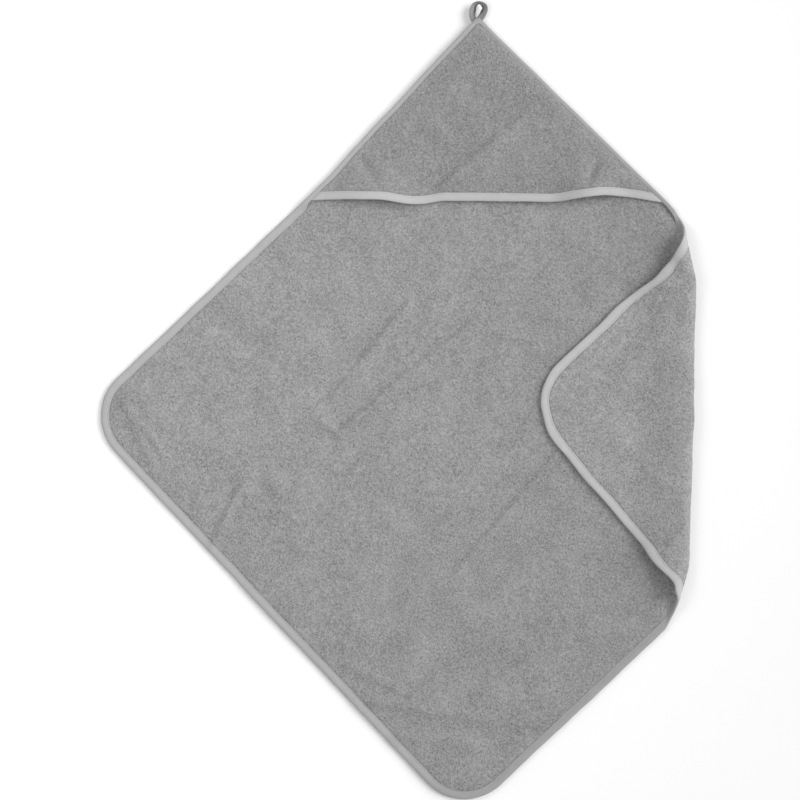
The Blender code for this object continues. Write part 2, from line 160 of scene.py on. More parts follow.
# ---- the hood ----
# The middle line of its free edge: two points, and waves as centre, half width, height.
HOOD_LEFT = (-0.224, 0.2945)
HOOD_RIGHT = (0.251, 0.3010)
HOOD_WAVES = [(-0.085, 0.048, -0.0055), (0.180, 0.085, 0.0085)]
HOOD_STATIONS = 160  # sections of the tape along it
HOOD_TAPE_INSET = 0.001  # that tape ends this far inside the hood's cloth
MEET_STEPS = 60  # steps of the search for where it meets the seams
HOOD_RUN_ENDS = (0.296, 0.290)  # y where the hood's cloth starts, right, and ends, left
HOOD_MID = 0.0063  # middle plane of the hood's cloth
SEAM_MID = 0.0052  # and where the edge tape squeezes it
SEAM_OPEN = (0.0098, 0.0150)  # distances from the edge over which it comes free
SEAM_AWAY = (0.010, 0.035)  # and over which its own folds grow
FREE_OPEN = (0.0112, 0.0140)  # distances over which it comes out of the free edge's tape
SQUEEZE = 0.55  # share of the pile's thickness that the edge tape takes
# y over which the edge tape climbs onto the hood's two corners, left and right, and the
# share of its width that the hood's pile leaves in sight there.
SEAM_RAMPS = [(0.274, 0.2875), (0.2760, 0.2985)]
SEAM_NARROW = [0.62, 0.46]
SEAM_CLIMB = 0.0034  # its upper lip rises by this to take in the hood
SEAM_INSIDE = 0.0108  # the hood is held flat up to here from the edge
HOOD_INSET = 0.0028  # the hood's cloth ends this far inside the outer edge
HOOD_LIFTS = [(-0.138, 0.080, 0.0115), (0.150, 0.055, 0.0135)]  # centre, half width, height
HOOD_LIFT_REACH = 0.060  # how far up the hood these reach from its free edge
HOOD_SLACK = 0.0030  # the hood stands off the towel by this, away from its seams

# ---- the hanging loop ----
# It is the edge tape's own end, which lies across the apex, turns up on its edge round the
# top and is tucked under itself: x from the loop's middle line, y and z of the tape's
# middle, its width, and how far it is turned up, in degrees.
LOOP_PATH = [
    (-0.0270, 0.5058, 0.0060, 0.0060, 0),
    (-0.0168, 0.5166, 0.0077, 0.0078, 0),
    (-0.0068, 0.5274, 0.0090, 0.0088, 0),
    (0.0018, 0.5368, 0.0100, 0.0090, 6),
    (0.0062, 0.5442, 0.0100, 0.0098, 25),
    (0.0080, 0.5500, 0.0092, 0.0108, 42),
    (0.0068, 0.5550, 0.0084, 0.0104, 60),
    (0.0005, 0.5590, 0.0076, 0.0094, 80),
    (-0.0056, 0.5558, 0.0070, 0.0100, 54),
    (-0.0078, 0.5490, 0.0066, 0.0104, 36),
    (-0.0080, 0.5400, 0.0066, 0.0096, 30),
    (-0.0040, 0.5330, 0.0070, 0.0086, 10),
    (0.0010, 0.5250, 0.0070, 0.0080, 0),
    (0.0050, 0.5170, 0.0066, 0.0070, 0),
]
LOOP_THICKNESS = 0.0016
LOOP_BEND_Y = (0.5230, 0.5360)  # the loop turns about its root between these
LOOP_PER_SPAN = 9  # steps between each two rows of the path

# ---- relief: start x and y, end x and y, half width, height ----
CREASE_FADE = 0.012  # a crease dies out over this much at each of its ends
CREASES = [
    (-0.083, 0.160, -0.188, 0.022, 0.006, 0.0042),
    (0.008, 0.136, -0.104, 0.044, 0.005, 0.0045),
    (-0.104, 0.044, -0.177, -0.025, 0.006, 0.0049),
    (-0.177, -0.025, -0.207, -0.003, 0.005, 0.0032),
    (0.120, -0.039, -0.018, -0.208, 0.004, 0.0036),
    (-0.303, -0.089, -0.344, -0.177, 0.005, 0.0032),
    (-0.170, -0.328, -0.088, -0.366, 0.008, 0.0032),
    (-0.128, -0.381, 0.034, -0.402, 0.009, 0.0039),
    (-0.093, -0.427, 0.021, -0.438, 0.009, 0.0032),
    (-0.446, -0.011, -0.411, -0.058, 0.006, 0.0032),
    (-0.470, 0.020, -0.420, -0.085, 0.007, 0.0022),
    (-0.348, 0.119, -0.280, 0.087, 0.016, -0.0039),
    (-0.102, 0.259, -0.047, 0.210, 0.003, -0.0022),
    (-0.275, -0.087, -0.250, -0.097, 0.012, 0.0051),
]
HOOD_CREASES = [
    (0.030, 0.379, -0.050, 0.307, 0.007, 0.0049),
    (0.070, 0.420, 0.000, 0.330, 0.010, 0.0027),
    (-0.158, 0.345, -0.133, 0.313, 0.008, -0.0049),
    (0.161, 0.353, 0.145, 0.319, 0.007, -0.0049),
    (-0.020, 0.440, 0.050, 0.455, 0.012, -0.0027),
    (-0.075, 0.400, -0.020, 0.350, 0.012, 0.0023),
]
FLAP_CREASES = [
    (0.336, -0.163, 0.303, -0.129, 0.008, 0.0032),
    (0.340, 0.150, 0.400, 0.060, 0.016, 0.0027),
    (0.360, -0.050, 0.430, 0.000, 0.018, 0.0027),
]


# ---- numbers over the cloth ----
def smooth(value, low=0.0, high=1.0):
    t = np.clip((value - low) / (high - low), 0.0, 1.0)
    return t * t * (3 - 2 * t)


def bump(x, centre, half_width):
    """1 at the centre, down to 0 at the half width and beyond."""
    d = np.clip((x - centre) / half_width, -1.0, 1.0)
    return 0.5 * (1 + np.cos(math.pi * d))


def bumps(x, table):
    """Sum of bumps, each given by its centre, half width and height."""
    return sum(height * bump(x, centre, half_width) for centre, half_width, height in table)


def noise(x, y, cell, seed):
    """Smooth repeatable noise from -1 to 1 with features of the given size."""
    def corner_value(ix, iy):
        n = (ix * 374761393 + iy * 668265263 + seed * 974634777) & 0xFFFFFFFF
        n = ((n ^ (n >> 13)) * 1274126177) & 0xFFFFFFFF
        return (n ^ (n >> 16)) / 2147483647.5 - 1
    gx, gy = np.asarray(x) / cell, np.asarray(y) / cell
    ix, iy = np.floor(gx).astype(np.int64), np.floor(gy).astype(np.int64)
    fx, fy = smooth(gx - ix), smooth(gy - iy)
    low = corner_value(ix, iy) * (1 - fx) + corner_value(ix + 1, iy) * fx
    high = corner_value(ix, iy + 1) * (1 - fx) + corner_value(ix + 1, iy + 1) * fx
    return low * (1 - fy) + high * fy


def crease_height(creases, x, y):
    """Soft ridges, or grooves where the height is below zero, that die out at both ends."""
    total = np.zeros_like(x)
    for x0, y0, x1, y1, half_width, height in creases:
        length = math.hypot(x1 - x0, y1 - y0)
        along = ((x - x0) * (x1 - x0) + (y - y0) * (y1 - y0)) / length
        across = ((x - x0) * (y1 - y0) - (y - y0) * (x1 - x0)) / length
        fade = (smooth(along, -CREASE_FADE, CREASE_FADE)
                * smooth(length - along, -CREASE_FADE, CREASE_FADE))
        total += height * fade * np.exp(-(across / half_width) ** 2)
    return total


def rise(x, y):
    """How far the cloth lies above the floor's plane: slow waves, creases, small dents."""
    waves = 0.0013 * (1 + noise(x, y, 0.085, 3)) + 0.0006 * (1 + noise(x, y, 0.034, 5))
    small = 0.00028 * (1 + noise(x, y, 0.015, 7))
    return np.maximum(waves + small + crease_height(CREASES, x, y) + 0.0010, 0.0006)


def pile(x, y, seed):
    """Tufts of the pile that stand a little higher or lower than the rest."""
    return 0.00022 * noise(x, y, 0.0056, seed) + 0.00024 * noise(x, y, 0.0036, seed + 1)


def warp(x, y):
    """Small sideways wander of the cloth, the same for the terry, the tape and the seam."""
    dx = 0.0005 * noise(x, y, 0.045, 21) + 0.0003 * noise(x, y, 0.017, 22)
    dy = 0.0005 * noise(x, y, 0.045, 23) + 0.0003 * noise(x, y, 0.017, 24)
    return x + dx, y + dy


# ---- the outline ----
def unit(vector):
    return vector / np.linalg.norm(vector)


def lengths(line):
    """Length along a line up to each of its points."""
    return np.concatenate([[0], np.cumsum(np.linalg.norm(np.diff(line, axis=0), axis=1))])


def round_corner(index):
    """Points along the arc that rounds one corner, and their inward normals."""
    points = [np.array(point) for point, _ in OUTLINE]
    vertex, radius = points[index], OUTLINE[index][1]
    incoming = unit(vertex - points[index - 1])
    outgoing = unit(points[(index + 1) % len(points)] - vertex)
    turn = math.atan2(incoming[0] * outgoing[1] - incoming[1] * outgoing[0], incoming @ outgoing)
    side = math.copysign(1.0, turn)
    normal = np.array([-incoming[1], incoming[0]])
    centre = vertex - incoming * radius * math.tan(abs(turn) / 2) + normal * radius * side
    steps = max(2, math.ceil(abs(turn) * radius / TAPE_STEP), math.ceil(abs(turn) / 0.2))
    angle = turn * np.arange(steps + 1)[:, None] / steps
    across = np.array([-normal[1], normal[0]])
    normals = normal * np.cos(angle) + across * np.sin(angle)
    return centre - normals * radius * side, normals


ARCS = [round_corner(index) for index in range(len(OUTLINE))]


# A run is a list of stations, and a station is a function: offsets from the edge -> plan points.
def corner(index):
    """Stations round a corner. Further in than its radius, they meet in one sharp point."""
    vertex, radius = np.array(OUTLINE[index][0]), OUTLINE[index][1]
    points, normals = ARCS[index]
    mitre = (normals[0] + normals[-1]) / (1 + normals[0] @ normals[-1])

    def station(offsets, p, n):
        o = offsets[:, None]
        return np.where(o > radius, vertex + mitre * o, p + n * o)
    return [functools.partial(station, p=p, n=n) for p, n in zip(points, normals)]


def cut(first, second, axis, value):
    """Where the straight edge between two corners crosses x = value or y = value."""
    p, n = ARCS[first][0][-1], ARCS[first][1][-1]
    q, m = ARCS[second][0][0], ARCS[second][1][0]

    def station(offsets):
        a, b = p + n * offsets[:, None], q + m * offsets[:, None]
        t = (value - a[:, axis]) / (b[:, axis] - a[:, axis])
        return a + (b - a) * t[:, None]
    return station


def ribbon(run, offsets, step=TAPE_STEP):
    """Plan points [station, offset] along a run, its straight stretches cut to the step."""
    offsets = np.asarray(offsets, float)
    keys = [station(offsets) for station in run]
    rows = [keys[0][None]]
    for a, b in zip(keys, keys[1:]):
        count = max(1, math.ceil(np.linalg.norm(b[0] - a[0]) / step))
        t = np.arange(1, count + 1)[:, None, None] / count
        rows.append(a + (b - a) * t)
    return np.concatenate(rows)


LEFT_CUT_X = LEFT_FOLD_X + CUT_REACH
BOTTOM_CUT_Y = BOTTOM_FOLD_Y + CUT_REACH
TOP_RUN = ([cut(RIGHT, HOOD_R, 0, RIGHT_CUT_X)] + corner(HOOD_R) + corner(APEX) + corner(HOOD_L)
           + [cut(HOOD_L, LEFT, 1, y) for y in reversed(SEAM_RAMPS[0])]
           + [cut(HOOD_L, LEFT, 0, LEFT_CUT_X)])
LOWER_LEFT_RUN = [cut(LEFT, BOTTOM, 0, LEFT_CUT_X), cut(LEFT, BOTTOM, 1, BOTTOM_CUT_Y)]
LOWER_RIGHT_RUN = [cut(BOTTOM, FOLD_LOW, 1, BOTTOM_CUT_Y), cut(BOTTOM, FOLD_LOW, 0, RIGHT_CUT_X)]
LEFT_RUN = ([cut(HOOD_L, LEFT, 0, LEFT_CUT_X)] + corner(LEFT) + [cut(LEFT, BOTTOM, 0, LEFT_CUT_X)])
BOTTOM_RUN = ([cut(LEFT, BOTTOM, 1, BOTTOM_CUT_Y)] + corner(BOTTOM)
              + [cut(BOTTOM, FOLD_LOW, 1, BOTTOM_CUT_Y)])
RIGHT_RUN = ([cut(BOTTOM, FOLD_LOW, 0, RIGHT_CUT_X)] + corner(FOLD_LOW) + corner(RIGHT)
             + [cut(RIGHT, HOOD_R, 0, RIGHT_CUT_X)])
HOOD_RUN = ([cut(HOOD_R, APEX, 1, HOOD_RUN_ENDS[0])] + corner(APEX) + corner(HOOD_L)
            + [cut(HOOD_L, LEFT, 1, HOOD_RUN_ENDS[1])])


# ---- carrying the cloth to where it lies ----
def carry_flat(x, y, z):
    """Flat on the floor."""
    x, y = warp(x, y)
    return np.stack([x, y, MID + z + rise(x, y)], -1)


def end_share(y, ends):
    """0 along the middle of the fold, up to 1 at its two open ends."""
    (up_from, up_to), (low_from, low_to) = ends
    return np.maximum(smooth(y, up_from, up_to), smooth(-y, -low_from, -low_to))


def fold_profile(x, y):
    """Where a point of the middle plane lies round the fold: plan x, height, the slope of
    the cloth there as a direction (along x, up), and how far round the fold it is, 0 to 1."""
    pull, tall = end_share(y, PULL_ENDS), end_share(y, TALL_ENDS)
    nose = NOSE_X - END_PULL * pull + 0.0006 * noise(y, y * 0, 0.040, 31)
    start = nose - (NOSE_X - ROLL_START_X) - START_PULL * pull
    half = ROLL_HALF + END_HALF * tall + 0.0005 * noise(y, y * 0, 0.060, 33)
    drop = DROP_LENGTH + (END_DROP_LENGTH - DROP_LENGTH) * tall
    slack = bumps(y, SLACKS)
    crest = SLACK_FALL * slack
    quarter = (FLAP_SUM_X - bumps(y, DRAWN_OVER)) / 2 - start
    cloth = 2 * quarter - slack
    u = x - start
    share = np.where(u < quarter, 0.5 * u / quarter, 0.5 + 0.5 * (u - quarter) / (quarter - slack))
    share = np.clip(share, 0.0, 1.0)
    angle = math.pi * share
    wide = nose - start
    plan_x = start + wide * np.sin(angle)
    height = half * (1 - np.cos(angle))
    run, climb = wide * np.cos(angle), half * np.sin(angle)

    flat = u < 0
    plan_x = np.where(flat, x, plan_x)
    run, climb = np.where(flat, 1.0, run), np.where(flat, 0.0, climb)

    q = u - cloth
    over = q > 0
    t = np.clip(q / drop, 0.0, 1.0)
    c = np.clip(q / CREST_LENGTH, 0.0, 1.0)
    fall = 2 * half - (FLAP_MID - MID) - crest
    plan_x = np.where(over, start - q + slack * smooth(c), plan_x)
    height = np.where(over, 2 * half - fall * smooth(t) - crest * smooth(c), height)
    run = np.where(over, slack * 6 * c * (1 - c) / CREST_LENGTH - 1.0, run)
    climb = np.where(over, -fall * 6 * t * (1 - t) / drop
                     - crest * 6 * c * (1 - c) / CREST_LENGTH, climb)
    plan_x = plan_x + bumps(y, FLAP_WAVES) * smooth(share, 0.5, 0.9)
    norm = np.maximum(np.hypot(run, climb), 1e-9)
    return plan_x, MID + height, run / norm, climb / norm, share


def carry_folded(x, y, z):
    """Round the fold of the right corner: the upper side of the cloth ends up underneath."""
    x, y = warp(x, y)
    plan_x, height, run, climb, share = fold_profile(x, y)
    loose = smooth(share, 0.6, 1.0)
    own = 0.0006 * (1 + noise(x, y, 0.055, 41)) + crease_height(FLAP_CREASES, x, y)
    height = height + rise(plan_x, y) + loose * own
    return np.stack([plan_x - z * climb, y, height + z * run], -1)


def fold_weight(x, y):
    """How much of the fold's turn a point takes, so that the corner opens out flat."""
    share = fold_profile(*warp(x, y))[-1]
    point = carry_folded(x, y, np.zeros_like(x))
    across, up = point[..., 0] - FOLD_AXIS_X, point[..., 2] - FOLD_AXIS_Z
    turned = np.arctan2(across, -up)
    turned = np.where(turned < 0, turned + 2 * math.pi, turned)
    level = (FOLD_AXIS_Z - OPENED_MID) / np.maximum(np.hypot(across, up), 1e-6)
    rest = np.arccos(np.clip(level, 0.0, 1.0))
    limit = np.where(share > 0.5, (turned - rest) / FOLD_TURN, 1.0)
    return np.clip(np.minimum(share, limit), 0.0, 1.0)


def edge_depth(x, y):
    """Distance from the bound edge round the hood, for points inside it."""
    line = ribbon(HOOD_RUN, [0.0], 0.004)[:, 0]
    a, b = line[:-1], line[1:]
    best = np.full(np.shape(x), DEEP)
    for (ax, ay), (bx, by) in zip(a, b):
        length = math.hypot(bx - ax, by - ay)
        if length < 1e-9:
            continue
        ux, uy = (bx - ax) / length, (by - ay) / length
        t = np.clip((x - ax) * ux + (y - ay) * uy, 0.0, length)
        best = np.minimum(best, np.hypot(x - ax - ux * t, y - ay - uy * t))
    return best


def hood_edge_y(x):
    """Middle line of the tape along the hood's free edge."""
    t = (x - HOOD_LEFT[0]) / (HOOD_RIGHT[0] - HOOD_LEFT[0])
    y = HOOD_LEFT[1] + t * (HOOD_RIGHT[1] - HOOD_LEFT[1])
    for centre, half_width, height in HOOD_WAVES:
        y = y + height * bump(x, centre, half_width)
    return y


def free_line(x, offsets):
    """y of the lines that follow the free edge, at these distances in from its outer side."""
    return hood_edge_y(x) - TAPE_WIDTH / 2 + offsets


def free_depth(x, y):
    """Distance up the hood from the outer side of its free edge."""
    return y - hood_edge_y(x) + TAPE_WIDTH / 2


def hood_share(x, y):
    """0 along both seams, 1 at the middle of the free edge."""
    middle_x = (HOOD_LEFT[0] + HOOD_RIGHT[0]) / 2
    middle = seam_product(np.array([middle_x]), hood_edge_y(np.array([middle_x])))
    return np.clip(seam_product(x, y) / middle, 0.0, 1.0)


def seam_product(x, y):
    """Distance from the one seam times distance from the other."""
    total = 1.0
    for end in (-1, 0):
        p, n = ARCS[APEX][0][end], ARCS[APEX][1][end]
        total = total * np.maximum((x - p[0]) * n[0] + (y - p[1]) * n[1] - SEAM_INSIDE, 0.0)
    return total


def seam_open(depth):
    """0 where the edge tape squeezes the hood's cloth, 1 where its pile stands free."""
    return smooth(depth, *SEAM_OPEN)


def hood_middle(x, y, depth):
    """Height of the hood's middle plane."""
    middle = SEAM_MID + (HOOD_MID - SEAM_MID) * seam_open(depth)
    lift = bumps(x, HOOD_LIFTS) * (1 - smooth(free_depth(x, y), 0.0, HOOD_LIFT_REACH))
    slack = HOOD_SLACK * hood_share(x, y) ** 0.5 * (1 + 0.5 * noise(x, y, 0.060, 51))
    folds = crease_height(HOOD_CREASES, x, y) + 0.0005 * (1 + noise(x, y, 0.028, 53))
    return middle + smooth(depth, *SEAM_AWAY) * (lift + slack + folds) + rise(x, y)


def hood_side(x, y):
    """How far the edge at this place has climbed onto the hood, 0 to 1."""
    left, right = (smooth(y, *ramp) for ramp in SEAM_RAMPS)
    return np.where(x < LOOP_X, left, right)


def tape_share(x, y):
    """How much of the edge tape's width shows beside the hood's pile."""
    narrow = SEAM_NARROW[0] + (SEAM_NARROW[1] - SEAM_NARROW[0]) * smooth(x, -0.012, 0.012)
    return 1 - (1 - narrow) * hood_side(x, y)


def seam_depth(x, y):
    """Distance from the edge, counted as if the tape had its full width in sight."""
    return edge_depth(x, y) / tape_share(x, y)


def carry_hood(x, y, z, held=1.0):
    """Over the towel on the hood, and thinner where the edge tape holds it."""
    depth = seam_depth(x, y)
    x, y = warp(x, y)
    thin = 1 - SQUEEZE * (1 - seam_open(depth)) * held
    return np.stack([x, y, hood_middle(x, y, depth) + z * thin], -1)


def carry_hood_cloth(x, y, z):
    """The same for cloth that is itself thin along the edge tape, above the free edge."""
    return carry_hood(x, y, z, 1 - smooth(free_depth(x, y), *FREE_OPEN))


# ---- meshes ----
def add_object(name, data, location=(0, 0, 0)):
    obj = bpy.data.objects.new(name, data)
    obj.location = location
    bpy.context.scene.collection.objects.link(obj)
    return obj


def make_piece(name, points, faces, material, weave=None):
    """A mesh in the shared frame. weave is each point's place along and across the tape."""
    mesh = bpy.data.meshes.new(name)
    mesh.from_pydata((np.asarray(points) + ORIGIN).tolist(), [], [list(f) for f in faces])
    mesh.materials.append(material)
    mesh.shade_smooth()
    mesh.set_sharp_from_angle(angle=math.radians(65.0))
    if weave is not None:
        attribute = mesh.attributes.new("weave", "FLOAT_VECTOR", "POINT")
        attribute.data.foreach_set("vector", np.asarray(weave, np.float32).ravel())
    mesh.update()
    return add_object(name, mesh)


def inside(points, polygon):
    """Which points lie inside a polygon."""
    x, y = points.T
    result = np.zeros(len(points), bool)
    for (x0, y0), (x1, y1) in zip(polygon, np.roll(polygon, -1, 0)):
        if y0 != y1:
            crosses = (y0 > y) != (y1 > y)
            result ^= crosses & (x < x0 + (y - y0) * (x1 - x0) / (y1 - y0))
    return result


def lattice(polygon, cell):
    """Points of a triangular lattice inside a polygon."""
    low, high = polygon.min(0), polygon.max(0)
    row = cell * math.sqrt(0.75)
    ys = np.arange(math.floor(low[1] / row), math.ceil(high[1] / row) + 1)
    xs = np.arange(math.floor(low[0] / cell) - 1, math.ceil(high[0] / cell) + 1)
    gy, gx = np.meshgrid(ys, xs, indexing="ij")
    points = np.stack([((gx + 0.5 * (gy % 2)) * cell).ravel(), (gy * row).ravel()], -1)
    return points[inside(points, polygon)]


def with_depth(points, depth):
    """Plan points with their distance from the edge as a third column."""
    return np.column_stack([points, np.broadcast_to(depth, len(points))])


def triangulate(points, count):
    """Triangles that fill the loop of the first points, through all the others. Points are
    rows of x, y and depth. Returns plan, half thickness, triangles."""
    edges = [(i, (i + 1) % count) for i in range(count)]
    plan, _, faces, origin, _, _ = geometry.delaunay_2d_cdt(
        [Vector(p) for p in points[:, :2].tolist()], edges, [], 1, 1e-7)
    depth = np.array([points[o[0], 2] if o else DEEP for o in origin])
    half = np.interp(depth, RINGS, RING_HALF)
    return np.array([tuple(p) for p in plan]), half, np.array([tuple(f) for f in faces])


def closed_sheet(name, plan, faces, half, carry, material, seed):
    """Both sides of a terry sheet, joined round the rim."""
    x, y = plan.T
    full = (half - MARGIN_HALF) / (PILE_HALF - MARGIN_HALF)
    upper = carry(x, y, half + full * pile(x, y, seed))
    lower = carry(x, y, -half - full * pile(x, y, seed + 10))
    count = len(plan)
    edges = np.concatenate([faces[:, [0, 1]], faces[:, [1, 2]], faces[:, [2, 0]]])
    _, first, uses = np.unique(np.sort(edges, 1), axis=0, return_index=True, return_counts=True)
    rim = edges[first[uses == 1]]
    walls = np.stack([rim[:, 1], rim[:, 0], rim[:, 0] + count, rim[:, 1] + count], -1)
    all_faces = faces.tolist() + (faces[:, ::-1] + count).tolist() + walls.tolist()
    return make_piece(name, np.concatenate([upper, lower]), all_faces, material)


def flat_area(plan, faces):
    """Area of the cloth as it was cut, from its triangles in plan."""
    a, b, c = (plan[faces[:, i]] for i in range(3))
    return float(np.abs((b[:, 0] - a[:, 0]) * (c[:, 1] - a[:, 1])
                        - (b[:, 1] - a[:, 1]) * (c[:, 0] - a[:, 0])).sum() / 2)


def cut_line(end, start):
    """Across the cloth from the end of one run to the start of the next, with depths."""
    a, b = with_depth(end(RINGS), RINGS), with_depth(start(RINGS), RINGS)
    count = max(2, round(float(np.linalg.norm(b[-1] - a[-1])) / FINE_CELL))
    t = np.linspace(0, 1, count + 1)[1:-1, None]
    between = with_depth((a[-1] + (b[-1] - a[-1]) * t)[:, :2], DEEP)
    return np.concatenate([a, between, b[::-1]])


def terry_panel(name, runs, cell, carry, material):
    """A panel bounded by edge runs, anticlockwise, with straight cuts between them."""
    boundary, loose, core, cuts = [], [], [], []
    for run, following in zip(runs, runs[1:] + runs[:1]):
        rows = ribbon(run, RINGS, cell)[1:-1]
        rings = [with_depth(rows[:, i], ring) for i, ring in enumerate(RINGS)]
        line = cut_line(run[-1], following[0])
        boundary += [rings[0], line]
        loose += rings[1:]
        core.append(ribbon(run, [RINGS[-1] + 0.6 * cell], 0.02)[:, 0])
        cuts.append((line[len(RINGS) - 1, :2], line[-len(RINGS), :2]))
    grid = lattice(np.concatenate(core), cell)
    for a, b in cuts:
        along = unit(b - a)
        gap = (grid[:, 0] - a[0]) * along[1] - (grid[:, 1] - a[1]) * along[0]
        grid = grid[np.abs(gap) > 0.5 * cell]
    points = np.concatenate(boundary + loose + [with_depth(grid, DEEP)])
    plan, half, faces = triangulate(points, sum(map(len, boundary)))
    return closed_sheet(name, plan, faces, half, carry, material, TERRY_SEED), plan, faces


def hood_panel(name, material):
    """The hood's cloth, from under the edge tape down to inside the tape of its free edge."""
    rows = ribbon(HOOD_RUN, [0.0, HOOD_INSET, *RINGS[2:]], FINE_CELL)
    edge, rings = rows[:, :1], rows[:, 1:]
    seam = draw_in(edge, rings, tape_share(edge[..., 0], edge[..., 1])[..., None])
    seam[:, 0] = rings[:, 0]
    x = np.arange(-0.24, 0.26, FINE_CELL)
    free = [np.stack([x, free_line(x, ring)], -1) for ring in RINGS]
    free = [line[edge_keep(*line.T)] for line in free]
    side, *seam = seam.swapaxes(0, 1)
    side = side[side[:, 1] > free_line(side[:, 0], RINGS[0]) + 0.0015]
    boundary = np.concatenate([side, free[0]])
    loose = np.concatenate([*seam, *free[1:], lattice(boundary, FINE_CELL)])
    loose = loose[inside(loose, boundary)]
    gap = np.minimum(edge_depth(*loose.T) - HOOD_INSET, free_depth(*loose.T) - RINGS[0])
    loose = loose[gap > 0.0008]
    points = np.concatenate([boundary, loose])
    depths = np.minimum(seam_depth(*points.T), np.maximum(free_depth(*points.T), 0))
    plan, half, faces = triangulate(with_depth(points, depths), len(boundary))
    piece = closed_sheet(name, plan, faces, half, carry_hood_cloth, material, HOOD_SEED)
    return piece, plan, faces


def edge_keep(x, y):
    """Which points lie inside the hood cloth's side edges, or below the line that joins
    the ends of these but still clear of the seams."""
    return inside(np.stack([x, y], -1), ribbon(HOOD_RUN, [HOOD_INSET], 0.01)[:, 0]) | (
        (np.abs(x) < 0.2) & (edge_depth(x, y) > HOOD_INSET))


def loft_faces(rows, size):
    """Faces that skin equal closed sections in a row, with a cap at both ends."""
    k, i = np.meshgrid(np.arange(rows - 1), np.arange(size), indexing="ij")
    j = (i + 1) % size
    quads = np.stack([k * size + i, k * size + j, (k + 1) * size + j, (k + 1) * size + i], -1)
    caps = [list(range(size))[::-1], list(range((rows - 1) * size, rows * size))]
    return quads.reshape(-1, 4).tolist() + caps


def places(along, across):
    """Place of each point of a tape along and across it, for its weave."""
    return np.stack(np.broadcast_arrays(along, across, 0.0), -1).reshape(-1, 3)


def tape_section():
    """The whole section, as offsets and heights, clockwise from the nose."""
    upper = np.array(TAPE_HALF_SECTION)
    lower = upper[1:][::-1] * (1, -1)
    section = np.concatenate([upper, lower])
    return section[:, 0], section[:, 1]


def seam_rise(x, y):
    """How much the edge tape's upper lip rises to take in the hood."""
    return SEAM_CLIMB * hood_side(x, y)


def draw_in(line, plan, share):
    """Moves plan points towards their place on the outer edge."""
    return line + (plan - line) * share


def edge_tape(name, run, carry, material, hood):
    """The folded jersey tape along one run of the edge, and its points in plan. Along a run
    with the hood in it, the tape takes in the hood's cloth as well."""
    offsets, heights = tape_section()
    plan = ribbon(run, offsets)
    x, y = plan[..., 0], plan[..., 1]
    z = np.broadcast_to(heights, x.shape)
    pucker = 0.00010 * noise(x, y, 0.0060, 61) + 0.00012 * noise(x, y, 0.0160, 62)
    z = z + np.sign(heights) * pucker * np.minimum(np.abs(heights) / 0.0014, 1)
    if hood:
        share = np.where(heights > 0, tape_share(x[:, :1], y[:, :1]), 1.0)
        z = z + np.where(heights > 0, seam_rise(x[:, :1], y[:, :1]), 0.0)
        x, y = draw_in(x[:, :1], x, share), draw_in(y[:, :1], y, share)
    weave = places(lengths(plan[:, 0])[:, None], offsets)
    points = carry(x.ravel(), y.ravel(), z.ravel())
    tape = make_piece(name, points, loft_faces(*x.shape), material, weave)
    return tape, x.ravel(), y.ravel()


def hood_lines(offsets):
    """Plan points [station, offset] along the hood's free edge, seam to seam."""
    offsets = np.asarray(offsets, float)
    ends = []
    for end, guess in ((-1, -0.22), (0, 0.22)):
        x = np.full(len(offsets), guess)
        n = ARCS[APEX][1][end]
        p = ARCS[APEX][0][end] + n * (HOOD_INSET + HOOD_TAPE_INSET)
        for _ in range(MEET_STEPS):
            x = p[0] - (free_line(x, offsets) - p[1]) * n[1] / n[0]
        ends.append(x)
    t = np.linspace(0, 1, HOOD_STATIONS)[:, None]
    x = ends[0] + (ends[1] - ends[0]) * t
    return x, free_line(x, offsets)


STITCH_PITCH = 0.0031
STITCH_LENGTH = 0.0024
THREAD_RADIUS = 0.00024
STITCH_SIDES = 6
STITCH_SECTIONS = 6
STITCH_HEIGHT = 0.00155  # of the thread's middle line, from the cloth's middle plane
STITCH_SINK = 0.00022  # a stitch goes this much deeper at its ends


def stitches(name, line, across, height, carry, material):
    """A row of lockstitches on both sides of the cloth, along a line in plan, and the plan
    points of those on one side."""
    along = lengths(line)
    count = int((along[-1] - STITCH_LENGTH) / STITCH_PITCH)
    first = (along[-1] - count * STITCH_PITCH) / 2
    t = np.linspace(-1, 1, STITCH_SECTIONS)
    s = first + STITCH_PITCH * (np.arange(count)[:, None] + 0.5) + STITCH_LENGTH / 2 * t
    lift = np.interp(s, along, height)
    angle = 2 * math.pi * np.arange(STITCH_SIDES) / STITCH_SIDES
    radius = THREAD_RADIUS * np.sqrt(np.maximum(1 - (t * 0.97) ** 4, 0.0))
    sink = STITCH_SINK * t ** 4
    x, y = ((np.interp(s, along, line[:, i])[..., None] + np.interp(s, along, across[:, i])
             [..., None] * radius[:, None] * np.cos(angle)).ravel() for i in (0, 1))
    points = []
    for face in (1, -1):
        z = face * (lift * (face > 0) + STITCH_HEIGHT - sink)[..., None] + np.zeros(len(angle))
        z = z + radius[:, None] * np.sin(angle)
        points.append(carry(x, y, z.ravel()))
    one = loft_faces(STITCH_SECTIONS, STITCH_SIDES)
    size = STITCH_SECTIONS * STITCH_SIDES
    faces = [[start + v for v in f] for start in range(0, 2 * count * size, size) for f in one]
    return make_piece(name, np.concatenate(points), faces, material), x, y


